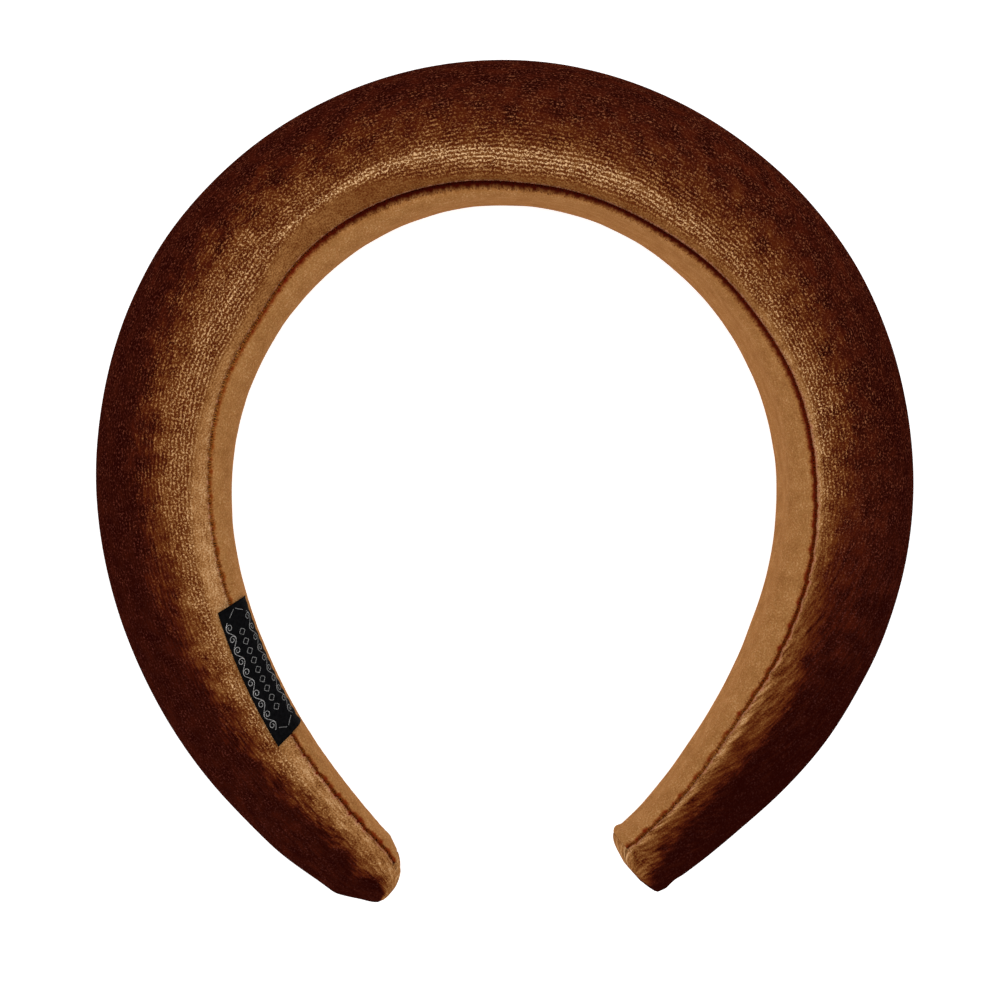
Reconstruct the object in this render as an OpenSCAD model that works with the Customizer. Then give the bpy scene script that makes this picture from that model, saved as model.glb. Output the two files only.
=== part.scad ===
// Padded headband lying on its side: a foam-filled velvet pad, its velvet lining and a woven label.
// X runs to the right arm, Y towards the crown and Z up from the surface. Lengths are in millimetres.
// The inner face follows four arcs a side, and every piece is swept along them through the same sections.

/* [Band] */
// Width inside the band, between the inner faces at their widest
inner_wide = 122; // [112:1:134]
// Radius of the inner face at the crown
crown_radius = 58; // [54:1:62]
// How far the crown's arc turns on each side, in degrees
crown_turn = 36; // [30:1:42]
// Radius of the inner face along each cheek, below its widest level
cheek_radius = 78; // [70:1:95]
// How far each cheek turns inwards, in degrees
cheek_turn = 17; // [12:1:22]
// Radius of the inner face along each tail, past the cheek
tail_radius = 123; // [110:1:200]
// Length of the left arm, from the crown to the tip along the inner face
left_long = 192.7; // [186:0.1:198]
// Length of the right arm, from the crown to the tip along the inner face
right_long = 186.4; // [182:0.1:196]

/* [Padding] */
// Thickness of the pad and lining together at the crown
crown_thick = 30.8; // [26:0.1:36]
// Thickness of the pad and lining together at the tips
tip_thick = 16; // [13:0.1:19]
// Width of the band at the crown, which stands upright as it lies
crown_wide = 40; // [34:0.5:46]
// Width of the band at the tips
tip_wide = 20; // [18:0.5:24]
// Where a section is widest, as a share of its thickness from the inner face
ridge_share = 0.36; // [0.3:0.01:0.45]
// Length of the rounded end of the left arm
left_round = 9; // [7:0.5:11]
// Length of the rounded end of the right arm
right_round = 7; // [6:0.5:9]

/* [Seam] */
// Usual distance of the seam from the inner face
seam_out = 4; // [3:0.1:5]
// How far the seam lies below the widest level of the pad
seam_drop = 1.8; // [1:0.1:2.4]
// Depth of the groove where the pad and the lining meet
groove = 0.8; // [0.4:0.1:1]
// How far a lining's corner reaches across its face
corner = 5; // [4:0.1:6]
// Thickness of the lining
lining_wall = 1.2; // [1:0.1:1.4]
// How far the lining stops short of the left tip
left_tuck = 4.5; // [3:0.1:6]
// How far the lining stops short of the right tip
right_tuck = 2.9; // [2.5:0.1:5]

/* [Label] */
// Length of the label along the band
label_long = 31; // [24:0.5:36]
// Width of the label
label_wide = 8.5; // [6:0.1:10]
// Where the label's middle lies, from the crown along the inner face
label_along = 138; // [120:0.5:150]
// How far out of the inner face the label's edge on the pad lies
label_out = 6.7; // [6:0.1:8]
// How much nearer the crown the label's other edge lies
label_lean = 2; // [0:0.1:4]
// Thickness of the label
label_wall = 0.6; // [0.5:0.1:1]

/* [Fit] */
// Gap between neighbouring pieces
gap = 0.3; // [0.2:0.05:0.4]

/* [Hidden] */

// Half sections from the crown, 0, to a tip, 1. wide and thick run from the tip's size, 0, to the crown's, 1.
//        along   wide    thick, left   thick, right
FORM = [[ 0.00,   1.00,   1.00,         1.00 ],
        [ 0.15,   0.94,   1.03,         0.95 ],
        [ 0.30,   0.78,   1.05,         0.95 ],
        [ 0.45,   0.59,   0.94,         0.91 ],
        [ 0.60,   0.39,   0.81,         0.85 ],
        [ 0.75,   0.21,   0.62,         0.65 ],
        [ 0.88,   0.08,   0.35,         0.28 ],
        [ 0.94,   0.03,   0.18,         0.13 ],
        [ 1.00,   0.00,   0.10,         0.00 ]];
// How far out the seam runs, as shares of seam_out: it wanders, as a hand-guided seam does.
//        along   left    right
SEAM = [[ 0.00,   0.65,   0.65 ],
        [ 0.08,   1.05,   0.50 ],
        [ 0.16,   1.35,   0.43 ],
        [ 0.24,   1.45,   0.62 ],
        [ 0.32,   1.18,   0.82 ],
        [ 0.40,   1.30,   1.12 ],
        [ 0.50,   1.10,   1.25 ],
        [ 0.60,   0.90,   1.42 ],
        [ 0.70,   0.72,   1.32 ],
        [ 0.80,   0.65,   0.92 ],
        [ 0.90,   0.55,   0.90 ],
        [ 1.00,   0.59,   0.66 ]];
// Outline of each rounded end, seen along Z. along is a share of its length, the others of the thickness.
//            along   inner    outer
LEFT_END  = [[ 0.00,   0.00,   1.00 ],
             [ 0.35,   0.04,   0.91 ],
             [ 0.60,   0.11,   0.84 ],
             [ 0.80,   0.21,   0.79 ],
             [ 0.93,   0.33,   0.74 ],
             [ 1.00,   0.46,   0.66 ]];
RIGHT_END = [[ 0.00,   0.00,   1.00 ],
             [ 0.25,  -0.03,   0.99 ],
             [ 0.45,  -0.08,   1.00 ],
             [ 0.60,  -0.01,   1.01 ],
             [ 0.76,   0.08,   0.99 ],
             [ 0.88,   0.20,   0.95 ],
             [ 1.00,   0.40,   0.72 ]];
// Bumps and dents at the tips. side is -1 left or 1 right, back is from the tip, out is across the section
// from the inner face, up is from its middle, reach is the bump's size and height its height, or a dent's
// depth below zero.
// back and reach are shares of tip_wide, out of tip_thick, up of half the tip's width, height of lining_wall.
//        side   back   out    up     reach   height
BUMPS = [[ -1,   0.16,  0.78,  0.80,  0.20,  -1.00 ],
         [ -1,   0.02,  0.66,  0.10,  0.10,   0.60 ],
         [  1,   0.17,  0.14,  0.95,  0.12,  -1.00 ],
         [  1,   0.24, -0.02,  0.30,  0.18,   0.80 ],
         [  1,   0.04,  0.84,  0.20,  0.12,   0.70 ],
         [  1,   0.40,  0.55,  1.00,  0.14,  -0.50 ]];

// Steps of the sweep: rings along an arm's body, along its tip and around its end
body_rings = 25;
tip_rings = 9;
end_shares = [0.35, 0.62, 0.82, 0.94, 1];
// Length of the stretch before the lining's end that has closer rings
tip_zone = 18;
// Steps around a section: along the pad's bulge, its dome and the lining's corner
bulge_steps = 4;
dome_steps = 7;
corner_steps = 4;
recess_steps = 3;
// Depth of the crease that carries the seam past the lining's end, as a share of the groove's
end_crease = 0.3;
// Roundness of an end across the band's width
end_power = 2.6;
// How flat the very tip of an end stays, as a share of the band's width there
end_flat = 0.25;

// The inner face's arcs on one side, from the crown: each one's radius, turn in degrees and centre. The first
// arc is centred on the band's middle line, so the second's radius follows from the width inside. The last
// one turns further than any arm reaches.
tail_turn = 60;
temple_radius = (inner_wide / 2 - crown_radius * sin(crown_turn)) / (1 - sin(crown_turn));
temple_centre = [inner_wide / 2 - temple_radius, 0];
cheek_centre = temple_centre + [temple_radius - cheek_radius, 0];
ARCS = [[crown_radius, crown_turn, [0, (temple_radius - crown_radius) * cos(crown_turn)]],
        [temple_radius, 90 - crown_turn, temple_centre],
        [cheek_radius, cheek_turn, cheek_centre],
        [tail_radius, tail_turn, cheek_centre + (cheek_radius - tail_radius) * ray(-cheek_turn)]];
function ray(a) = [cos(a), sin(a)];
function arc_long(i) = ARCS[i][0] * ARCS[i][1] * PI / 180;

// Smooth reading of a table at u: a cubic through the rows, with the slopes of their neighbours
function row_below(t, u, i = 0) = i >= len(t) - 2 || u < t[i + 1][0] ? i : row_below(t, u, i + 1);
function slope(t, c, i) =
    let (a = max(i - 1, 0), b = min(i + 1, len(t) - 1)) (t[b][c] - t[a][c]) / (t[b][0] - t[a][0]);
function read(t, c, u) =
    let (i = row_below(t, u), h = t[i + 1][0] - t[i][0], x = (u - t[i][0]) / h)
    (2 * x ^ 3 - 3 * x ^ 2 + 1) * t[i][c] + (x ^ 3 - 2 * x ^ 2 + x) * h * slope(t, c, i)
    + (3 * x ^ 2 - 2 * x ^ 3) * t[i + 1][c] + (x ^ 3 - x ^ 2) * h * slope(t, c, i + 1);
function read_line(t, c, u) =
    let (i = row_below(t, u), x = (u - t[i][0]) / (t[i + 1][0] - t[i][0]))
    t[i][c] * (1 - x) + t[i + 1][c] * x;

// Places are given by s, the length from the crown along the inner face, below zero on the left arm
function side(s) = s < 0 ? -1 : 1;
function long(s) = s < 0 ? left_long : right_long;
function round_long(s) = s < 0 ? left_round : right_round;
function lined_long(s) = s < 0 ? left_long - left_tuck : right_long - right_tuck;
function share(s) = min(1, abs(s) / long(s));

// Point on the inner face d from the crown, moved r out of it, going on from arc i, which starts at angle a
function on_arcs(d, r, i = 0, a = 90) =
    d > arc_long(i) && i < len(ARCS) - 1 ? on_arcs(d - arc_long(i), r, i + 1, a - ARCS[i][1])
    : ARCS[i][2] + (ARCS[i][0] + r) * ray(a - d / ARCS[i][0] * 180 / PI);
// Point at s, r out of the inner face and z across the band
function place(s, r, z) = let (p = on_arcs(abs(s), r)) [side(s) * p.x, p.y, z];

// Sizes of the section at s
function thick(s) = tip_thick + (crown_thick - tip_thick) * read(FORM, s < 0 ? 2 : 3, share(s));
function half_wide(s) = (tip_wide + (crown_wide - tip_wide) * read(FORM, 1, share(s))) / 2;
function ridge(s) = ridge_share * thick(s);
function seam_r(s) = seam_out * read(SEAM, s < 0 ? 1 : 2, share(s));
function seam_z(s) = half_wide(s) - seam_drop;

// Rounded ends: where s lies along one, and what it leaves of the section
function end_along(s) = max(0, (abs(s) - long(s) + round_long(s)) / round_long(s));
function end_table(s) = s < 0 ? LEFT_END : RIGHT_END;
function end_inner(s) = read_line(end_table(s), 1, end_along(s));
function end_outer(s) = read_line(end_table(s), 2, end_along(s));
function end_wide(s) = end_flat + (1 - end_flat) * (1 - min(1, end_along(s)) ^ end_power) ^ (1 / end_power);

// Bumps: how far the surface stands out at a point of the section, along the way out of its middle
function hump(b, s, r, z) =
    b[0] != side(s) ? 0 :
    let (a = (long(s) - abs(s) - b[1] * tip_wide) / (b[4] * tip_wide),
         o = (r - b[2] * tip_thick) / (b[4] * tip_wide),
         u = (z - b[3] * tip_wide / 2) / (b[4] * tip_wide))
    b[5] * lining_wall * exp(-a * a - o * o - u * u);
function swell(s, r, z, i = 0) = i == len(BUMPS) ? 0 : hump(BUMPS[i], s, r, z) + swell(s, r, z, i + 1);
// A point of the section, shaped by the end's rounding and the bumps
function shaped(s, q) =
    let (r = thick(s) * end_inner(s) + q.x * (end_outer(s) - end_inner(s)), z = q.y * end_wide(s),
         m = thick(s) / 2, away = [r - m, z] / max(norm([r - m, z]), 1), h = swell(s, r, z))
    place(s, r + h * away.x, z + h * away.y);

// Half outlines of a section, from r = 0 at the inner face and z = 0 in its middle
// The bulge, from an edge in the seam's groove, which drops below the seam, up to the widest level
function bulge(s, edge_r, drop) =
    [for (i = [bulge_steps:-1:1]) let (a = 90 * i / bulge_steps)
        [ridge(s) - (ridge(s) - edge_r) * sin(a), half_wide(s) - (seam_drop + drop) * (1 - cos(a))]];
// The dome, from the widest level out to its middle
function dome(s) =
    [for (i = [0:dome_steps - 1]) let (a = 90 * i / dome_steps)
        [ridge(s) + (thick(s) - ridge(s)) * sin(a), half_wide(s) * cos(a)]];
// A corner of the inner face, turned through a degrees from an edge at the seam, at a depth below its outside
function corner_point(s, a, edge_r, depth = 0) =
    [edge_r - (edge_r - depth) * sin(a), seam_z(s) - corner + (corner - depth) * cos(a)];
function turn(s, steps, edge_r, depth) =
    [for (i = [0:steps]) corner_point(s, 90 * i / steps, edge_r, depth)];
// How far out the lining's edge and its rounded lip lie, and the pad's recess for them
function lining_edge(s) = seam_r(s) - gap / 2;
function lip_edge(s) = lining_edge(s) - groove / 2;
function recess_edge(s) = seam_r(s) + gap / 2;
function mirrored(half) = [for (i = [len(half) - 1:-1:0]) [half[i].x, -half[i].y]];
function whole(half, middle = []) = concat(half, middle, mirrored(half));

// Outline of the pad at s: the lining lies in its recess, and past the lining's end only a crease goes on
function pad_outline(s, lined) =
    let (edge = recess_edge(s), crease = groove * end_crease,
         bulge = lined ? bulge(s, edge, groove) : bulge(s, edge - crease / 2, crease),
         inner = lined ? turn(s, recess_steps, edge, lining_wall + gap)
             : turn(s, recess_steps, edge - crease, 0))
    concat(whole(concat(bulge, dome(s)), [[thick(s), 0]]), reverse(whole(inner)));
// Outline of the lining at s
function lining_outline(s) =
    let (lip = [[lining_edge(s), seam_z(s) - groove]],
         face = turn(s, corner_steps, lip_edge(s), 0),
         back = turn(s, recess_steps, lining_edge(s), lining_wall))
    concat(whole(back), reverse(whole(concat(lip, face))));
function reverse(v) = [for (i = [len(v) - 1:-1:0]) v[i]];

// Rings along one arm, from the crown outwards, as lengths
function body_steps(d) = [for (i = [0:body_rings]) (lined_long(d) - tip_zone) * i / body_rings];
function tip_steps(d) = [for (i = [1:tip_rings]) lined_long(d) - tip_zone * (1 - i / tip_rings)];
function lined_steps(d) = concat(body_steps(d), tip_steps(d));
function end_steps(d) =
    let (from = lined_long(d) + gap) concat([from], [for (e = end_shares) from + (long(d) - from) * e]);
function signed(d, v) = [for (x = v) d * x];
function both(left, right) = concat(reverse(signed(-1, left)), [for (i = [1:len(right) - 1]) right[i]]);

pad_rings = concat(
    reverse([for (x = end_steps(-1)) [-x, false]]), [[-lined_long(-1) - gap, true]],
    [for (s = both(lined_steps(-1), lined_steps(1))) [s, true]],
    [[lined_long(1) + gap, true]], [for (x = end_steps(1)) [x, false]]);
pad_mesh = [for (g = pad_rings) [for (q = pad_outline(g[0], g[1])) shaped(g[0], q)]];
lining_mesh = [for (s = both(lined_steps(-1), lined_steps(1))) [for (q = lining_outline(s)) shaped(s, q)]];

// How the band lies: tilted so that the crown's flank and both tips touch the surface, and moved so that
// the origin is the middle of its box, at the bottom
touch_crown = place(0, ridge(0), -half_wide(0));
touch_tip = place(long(1) - round_long(1), ridge(long(1)), -half_wide(long(1)));
rest_tilt = atan((touch_tip.z - touch_crown.z) / (touch_crown.y - touch_tip.y));
laid_points = [for (ring = pad_mesh, p = ring)
    [p.x, p.y * cos(rest_tilt) - p.z * sin(rest_tilt), p.y * sin(rest_tilt) + p.z * cos(rest_tilt)]];
function span(c) = let (v = [for (p = laid_points) p[c]]) [min(v), max(v)];
seat = [-(span(0)[0] + span(0)[1]) / 2, -(span(1)[0] + span(1)[1]) / 2, -span(2)[0]];
module laid() translate(seat) rotate([rest_tilt, 0, 0]) children();

// A closed skin over rings of equal length, with flat ends
module swept(rings) {
    n = len(rings[0]);
    last = len(rings) - 1;
    points = [for (ring = rings, p = ring) p];
    sides = [for (j = [0:last - 1], i = [0:n - 1]) let (k = (i + 1) % n)
        each [[j * n + i, j * n + k, (j + 1) * n + k], [j * n + i, (j + 1) * n + k, (j + 1) * n + i]]];
    polyhedron(points, concat(sides, [[for (i = [n - 1:-1:0]) i]], [[for (i = [0:n - 1]) last * n + i]]));
}

module pad() color("saddlebrown") laid() swept(pad_mesh);

module lining() color("peru") laid() swept(lining_mesh);

// Steps of the label, along the band and across it
label_steps = 14;
across_steps = 8;
// The label bridges the seam: it leaves the pad this far out of the seam, and meets the lining's corner at
// this angle of its turn
bridge_out = 1.5;
bridge_turn = 20;
// Points of the label's bed on the pad, and along the lining's corner
bed_steps = 2;
bed_corner_steps = 5;
// The surface under the label at s, from its edge on the pad inwards
function pad_skin(s, r) =
    r > ridge(s) ? [r, half_wide(s) * sqrt(1 - ((r - ridge(s)) / (thick(s) - ridge(s))) ^ 2)]
    : let (a = asin((ridge(s) - r) / (ridge(s) - seam_r(s)))) [r, half_wide(s) - seam_drop * (1 - cos(a))];
function label_bed(s) =
    let (from = label_out, to = seam_r(s) + bridge_out)
    concat([for (i = [0:bed_steps]) pad_skin(s, from + (to - from) * i / bed_steps)],
           [for (i = [0:bed_corner_steps]) let (a = bridge_turn + (90 - bridge_turn) * i / bed_corner_steps)
               corner_point(s, a, lip_edge(s))],
           [[0, 0]]);
// The point d along a path, and a path's points with each moved out of it by h
function walk(path, d, i = 0) =
    let (step = path[i + 1] - path[i], long = norm(step))
    d <= long || i == len(path) - 2 ? path[i] + step * d / long : walk(path, d - long, i + 1);
function lifted(path, h) =
    [for (i = [0:len(path) - 1])
        let (d = path[min(i + 1, len(path) - 1)] - path[max(i - 1, 0)]) path[i] + h * [d.y, -d.x] / norm(d)];
// Outline of the label over the bed at s, and the label's rings with each point leaning towards the crown
function label_outline(s) =
    let (bed = label_bed(s), way = [for (i = [0:across_steps]) walk(bed, label_wide * i / across_steps)])
    concat(lifted(way, gap), reverse(lifted(way, gap + label_wall)));
function across(i) = (i <= across_steps ? i : 2 * across_steps + 1 - i) / across_steps;
label_mesh = [for (j = [0:label_steps])
    let (from_edge = -label_along + label_long * (j / label_steps - 0.5))
    [for (i = [0:2 * across_steps + 1])
        let (s = from_edge + label_lean * across(i)) shaped(s, label_outline(s)[i])]];

module label() color("black") laid() swept(label_mesh);

pad();
lining();
label();
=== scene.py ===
import math

import bpy
import numpy as np
from mathutils import Matrix, Vector


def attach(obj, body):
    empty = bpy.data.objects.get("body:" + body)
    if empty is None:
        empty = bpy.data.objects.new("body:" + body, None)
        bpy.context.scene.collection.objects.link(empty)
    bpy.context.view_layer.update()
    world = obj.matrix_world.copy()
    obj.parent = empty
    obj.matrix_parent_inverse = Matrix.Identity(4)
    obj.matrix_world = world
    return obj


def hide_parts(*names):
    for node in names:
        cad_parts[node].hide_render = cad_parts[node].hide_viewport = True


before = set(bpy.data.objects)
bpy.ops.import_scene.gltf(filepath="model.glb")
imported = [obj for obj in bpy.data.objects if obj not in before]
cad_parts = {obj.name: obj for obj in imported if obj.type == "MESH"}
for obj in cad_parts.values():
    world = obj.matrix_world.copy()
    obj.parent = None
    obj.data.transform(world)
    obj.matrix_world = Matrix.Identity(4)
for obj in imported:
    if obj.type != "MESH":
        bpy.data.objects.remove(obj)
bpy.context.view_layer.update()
bpy.ops.object.select_all(action="DESELECT")
MM = 0.001

# The pad is a bar of foam bent into the band's curve, in a tube of crushed stretch velvet whose knit rows
# run along it. The velvet's cut edges are turned in and sewn to the lining, its ends folded and gathered.
inner_wide = 122
crown_radius, crown_turn = 58, 36
cheek_radius, cheek_turn = 78, 17
tail_radius, tail_turn = 123, 60
left_long, right_long = 192.7, 186.4
crown_thick, tip_thick = 30.8, 16
crown_wide, tip_wide = 40, 20
ridge_share = 0.36
left_round, right_round = 9, 7
seam_out, seam_drop, groove, corner = 4, 1.8, 0.8, 5
lining_wall, left_tuck, right_tuck, gap = 1.2, 4.5, 2.9, 0.3

# Half sections from the crown, 0, to a tip, 1: thickness of the left and the right arm and width, which run
# from the tip's size, 0, to the crown's, 1
#         along left  right wide
FORM = [[0.00, 1.00, 1.00, 1.00], [0.15, 1.03, 0.95, 0.94], [0.30, 1.05, 0.95, 0.78],
        [0.45, 0.94, 0.91, 0.59], [0.60, 0.81, 0.85, 0.39], [0.75, 0.62, 0.65, 0.21],
        [0.88, 0.35, 0.28, 0.08], [0.94, 0.18, 0.13, 0.03], [1.00, 0.10, 0.00, 0.00]]
# How far out of the inner face the seam runs, as shares of seam_out
#         along left  right
SEAM = [[0.00, 0.65, 0.65], [0.08, 1.05, 0.50], [0.16, 1.35, 0.43], [0.24, 1.45, 0.62],
        [0.32, 1.18, 0.82], [0.40, 1.30, 1.12], [0.50, 1.10, 1.25], [0.60, 0.90, 1.42],
        [0.70, 0.72, 1.32], [0.80, 0.65, 0.92], [0.90, 0.55, 0.90], [1.00, 0.59, 0.66]]
LEFT, RIGHT, WIDE = range(1, 4)
# Outlines of the rounded ends: along each, its inner and its outer edge as shares of the thickness
LEFT_END = [[0.00, 0.00, 1.00], [0.12, 0.00, 0.99], [0.35, 0.04, 0.93], [0.60, 0.11, 0.85],
            [0.80, 0.21, 0.79], [0.93, 0.33, 0.74], [1.00, 0.46, 0.66]]
RIGHT_END = [[0.00, 0.00, 1.00], [0.25, 0.00, 0.99], [0.45, -0.03, 1.00], [0.60, 0.00, 1.01],
             [0.76, 0.06, 0.99], [0.88, 0.17, 0.95], [1.00, 0.38, 0.72]]
INNER, OUTER = range(1, 3)
# Bumps and dents at the tips: side, back from the tip, out and up across the section, reach and height
BUMPS = [[-1, 0.16, 0.78, 0.80, 0.20, -1.00], [-1, 0.02, 0.66, 0.10, 0.10, 0.20],
         [-1, 0.40, 0.00, 0.00, 0.45, -0.70], [-1, 0.40, 1.00, 0.00, 0.32, -0.30],
         [1, 0.17, 0.14, 0.95, 0.12, -1.00], [1, 0.24, -0.02, 0.30, 0.18, 0.10],
         [1, 0.04, 0.84, 0.20, 0.12, 0.55], [1, 0.40, 0.55, 1.00, 0.14, -0.50],
         [1, 0.60, 0.00, 0.00, 0.45, -0.35]]
end_power, end_flat = 2.6, 0.25
rest_tilt = 3.77615
seat = np.array([0.0953, -1.7583, 15.4936])


def ray(turn):
    return np.array([np.cos(np.radians(turn)), np.sin(np.radians(turn))])


temple_radius = (inner_wide / 2 - crown_radius * ray(crown_turn)[1]) / (1 - ray(crown_turn)[1])
temple_centre = np.array([inner_wide / 2 - temple_radius, 0])
cheek_centre = temple_centre + [temple_radius - cheek_radius, 0]
ARCS = [(crown_radius, crown_turn, np.array([0, (temple_radius - crown_radius) * ray(crown_turn)[0]])),
        (temple_radius, 90 - crown_turn, temple_centre),
        (cheek_radius, cheek_turn, cheek_centre),
        (tail_radius, tail_turn, cheek_centre + (cheek_radius - tail_radius) * ray(-cheek_turn))]


def place(s, r, z):
    """Points s from the crown along the inner face, r out of it and z across, in the band's own frame"""
    start, turned = 0.0, 90.0
    x, y = np.zeros_like(r), np.zeros_like(r)
    for radius, turn, centre in ARCS:
        spot = ray(turned - np.degrees((abs(s) - start) / radius))
        here = abs(s) >= start
        x = np.where(here, centre[0] + (radius + r) * spot[0], x)
        y = np.where(here, centre[1] + (radius + r) * spot[1], y)
        start += radius * math.radians(turn)
        turned -= turn
    return np.stack([np.where(s < 0, -x, x), y, z], -1)


def laid(points):
    """Points of the band's own frame, as it lies on the surface, in metres"""
    tilt = Matrix.Rotation(math.radians(rest_tilt), 3, "X")
    return (points @ np.array(tilt).T + seat) * MM


def read(table, column, u):
    """Smooth reading of a table at u: a cubic through its rows, with the slopes of their neighbours"""
    rows = np.array(table, float)
    at = np.clip(np.searchsorted(rows[:, 0], u, side="right") - 1, 0, len(rows) - 2)
    before = np.maximum(np.arange(len(rows)) - 1, 0)
    after = np.minimum(np.arange(len(rows)) + 1, len(rows) - 1)
    slope = (rows[after, column] - rows[before, column]) / (rows[after, 0] - rows[before, 0])
    low, high = rows[at, column], rows[at + 1, column]
    step = rows[at + 1, 0] - rows[at, 0]
    x = (u - rows[at, 0]) / step
    return ((2 * x**3 - 3 * x**2 + 1) * low + (x**3 - 2 * x**2 + x) * step * slope[at]
            + (3 * x**2 - 2 * x**3) * high + (x**3 - x**2) * step * slope[at + 1])


def by_side(s, left, right):
    return np.where(s < 0, left, right)


def risen(value, start, length):
    """A value's rise from 0 at its start to 1 a length further on"""
    return np.clip((value - start) / length, 0, 1)


def share(s):
    return np.minimum(1, abs(s) / by_side(s, left_long, right_long))


def thick(s):
    u = share(s)
    return tip_thick + (crown_thick - tip_thick) * by_side(s, read(FORM, LEFT, u), read(FORM, RIGHT, u))


def half_wide(s):
    return (tip_wide + (crown_wide - tip_wide) * read(FORM, WIDE, share(s))) / 2


def seam_r(s):
    return seam_out * by_side(s, read(SEAM, LEFT, share(s)), read(SEAM, RIGHT, share(s)))


def lined_long(s):
    """How far from the crown the lining's cut end lies on the arm of s"""
    return by_side(s, left_long - left_tuck, right_long - right_tuck)


def shaped(s, r, z):
    """A section's points, with the ends' rounding and the bumps at the tips, in the band's own frame"""
    length, rounding = by_side(s, left_long, right_long), by_side(s, left_round, right_round)
    x = risen(abs(s) - length, -rounding, rounding)
    inner = by_side(s, read(LEFT_END, INNER, x), read(RIGHT_END, INNER, x))
    outer = by_side(s, read(LEFT_END, OUTER, x), read(RIGHT_END, OUTER, x))
    r = thick(s) * inner + r * (outer - inner)
    z = z * (end_flat + (1 - end_flat) * (1 - x**end_power) ** (1 / end_power))
    swell = np.zeros_like(r)
    for side, back, out, up, reach, height in BUMPS:
        size = reach * tip_wide
        a = (length - abs(s) - back * tip_wide) / size
        o = (r - out * tip_thick) / size
        u = (z - up * tip_wide / 2) / size
        swell += np.where(np.sign(s) == side, height * lining_wall * np.exp(-a * a - o * o - u * u), 0)
    middle = thick(s) / 2
    away = np.maximum(np.hypot(r - middle, z), 1)
    return place(s, r + swell * (r - middle) / away, z + swell * z / away)


def turn_outwards(merged=False):
    """The active skin's faces turned outwards, once its doubled points are merged where asked"""
    bpy.ops.object.mode_set(mode="EDIT")
    bpy.ops.mesh.select_all(action="SELECT")
    if merged:
        bpy.ops.mesh.remove_doubles(threshold=1e-7)
    bpy.ops.mesh.normals_make_consistent(inside=False)
    bpy.ops.object.mode_set(mode="OBJECT")


def grid_skin(name, points, facts):
    """A grid skin over rings of points in metres, open where it is wrapped. facts become its attributes"""
    rings, around = points.shape[:2]
    bpy.ops.mesh.primitive_grid_add(x_subdivisions=around - 1, y_subdivisions=rings - 1, size=1)
    skin = bpy.context.object
    skin.name = skin.data.name = name
    skin.data.vertices.foreach_set("co", points.reshape(-1).astype(np.float32))
    for fact, values in facts.items():
        kept = skin.data.attributes.new(fact, "FLOAT_VECTOR", "POINT")
        kept.data.foreach_set("vector", values.reshape(-1).astype(np.float32))
    turn_outwards()
    return skin


def tube(name, points, facts):
    """A closed skin over rings of points in metres, whose first and last rings are closed already"""
    def wrapped(values):
        return np.concatenate([values, values[:, :1]], 1)
    skin = grid_skin(name, wrapped(points), {fact: wrapped(values) for fact, values in facts.items()})
    turn_outwards(merged=True)
    bpy.ops.object.shade_smooth()
    return skin


# Steps of the pad's skin along the band and around it, and how its columns crowd towards the seam
ring_step = 0.36
flank_columns, inner_columns, crowding, even_share = 40, 5, 1.9, 0.25
outline_steps, bare_groove = 160, 0.3
cap_rings, wall_step = 6, 0.002


def pad_section(s, flank_columns, inner_columns):
    """Half outlines of the pad at each s: r and z from the inner face's middle to the crown line, then how
    far each point lies from the seam over the flank, and the flank's whole length"""
    s = s[:, None]
    edge, top, ridge, full = seam_r(s) + gap / 2, half_wide(s), ridge_share * thick(s), thick(s)
    sunk = (lining_wall + gap) * (abs(s) < lined_long(s) + gap)
    turn = np.radians(np.linspace(90, 0, inner_columns - 1))[None]
    seam_z = top - seam_drop
    inner_r = np.concatenate([sunk, edge - (edge - sunk) * np.sin(turn)], 1)
    inner_z = np.concatenate([0 * s, seam_z - corner + (corner - sunk) * np.cos(turn)], 1)
    fine = np.radians(np.linspace(90, 0, outline_steps))[None]
    drop = seam_drop + groove * np.where(sunk > 0, 1, bare_groove)
    flank_r = np.concatenate([ridge - (ridge - edge) * np.sin(fine),
                              ridge + (full - ridge) * np.cos(fine[:, 1:])], 1)
    flank_z = np.concatenate([top - drop * (1 - np.cos(fine)), top * np.sin(fine[:, 1:])], 1)
    step = np.hypot(np.diff(flank_r, axis=1), np.diff(flank_z, axis=1))
    run = np.concatenate([0 * s, np.cumsum(step, 1)], 1)
    even = np.linspace(0, 1, flank_columns)
    far = run[:, -1:] * (even_share * even + (1 - even_share) * even**crowding)
    r = np.array([np.interp(far[i], run[i], flank_r[i]) for i in range(len(s))])
    z = np.array([np.interp(far[i], run[i], flank_z[i]) for i in range(len(s))])
    inner_far = (inner_r - edge) - abs(inner_z - seam_z)
    inner_far = np.where(sunk > 0, inner_far, -inner_far)
    return (np.concatenate([inner_r, r], 1), np.concatenate([inner_z, z], 1),
            np.concatenate([inner_far, far], 1), run[:, -1:])


def around(half, odd=False):
    """A half section's columns carried on round the other half, whose sign turns where odd"""
    back = half[:, -2:0:-1]
    return np.concatenate([half, -back if odd else back], 1)


def arms(left, right, step):
    """Places s of rings from the left arm's end to the right arm's"""
    return np.linspace(-left, right, round((left + right) / step) + 1)


# Two rings close together at each end of the lining's recess make its wall there
recess_left, recess_right = left_long - left_tuck + gap, right_long - right_tuck + gap
wall_rings = [-recess_left - wall_step, -recess_left + wall_step,
              recess_right - wall_step, recess_right + wall_step]
pad_s = np.sort(np.concatenate([arms(left_long, right_long, ring_step), wall_rings]))
r, z, far, flank_long = pad_section(pad_s, flank_columns, inner_columns)
r, z, far = around(r), around(z, odd=True), around(far)
along = np.repeat(pad_s[:, None], r.shape[1], 1)
columns = r.shape[1]
upper = (np.arange(columns) <= columns // 2)[None] * np.ones_like(along)
pad_points = shaped(along, r, z)

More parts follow.
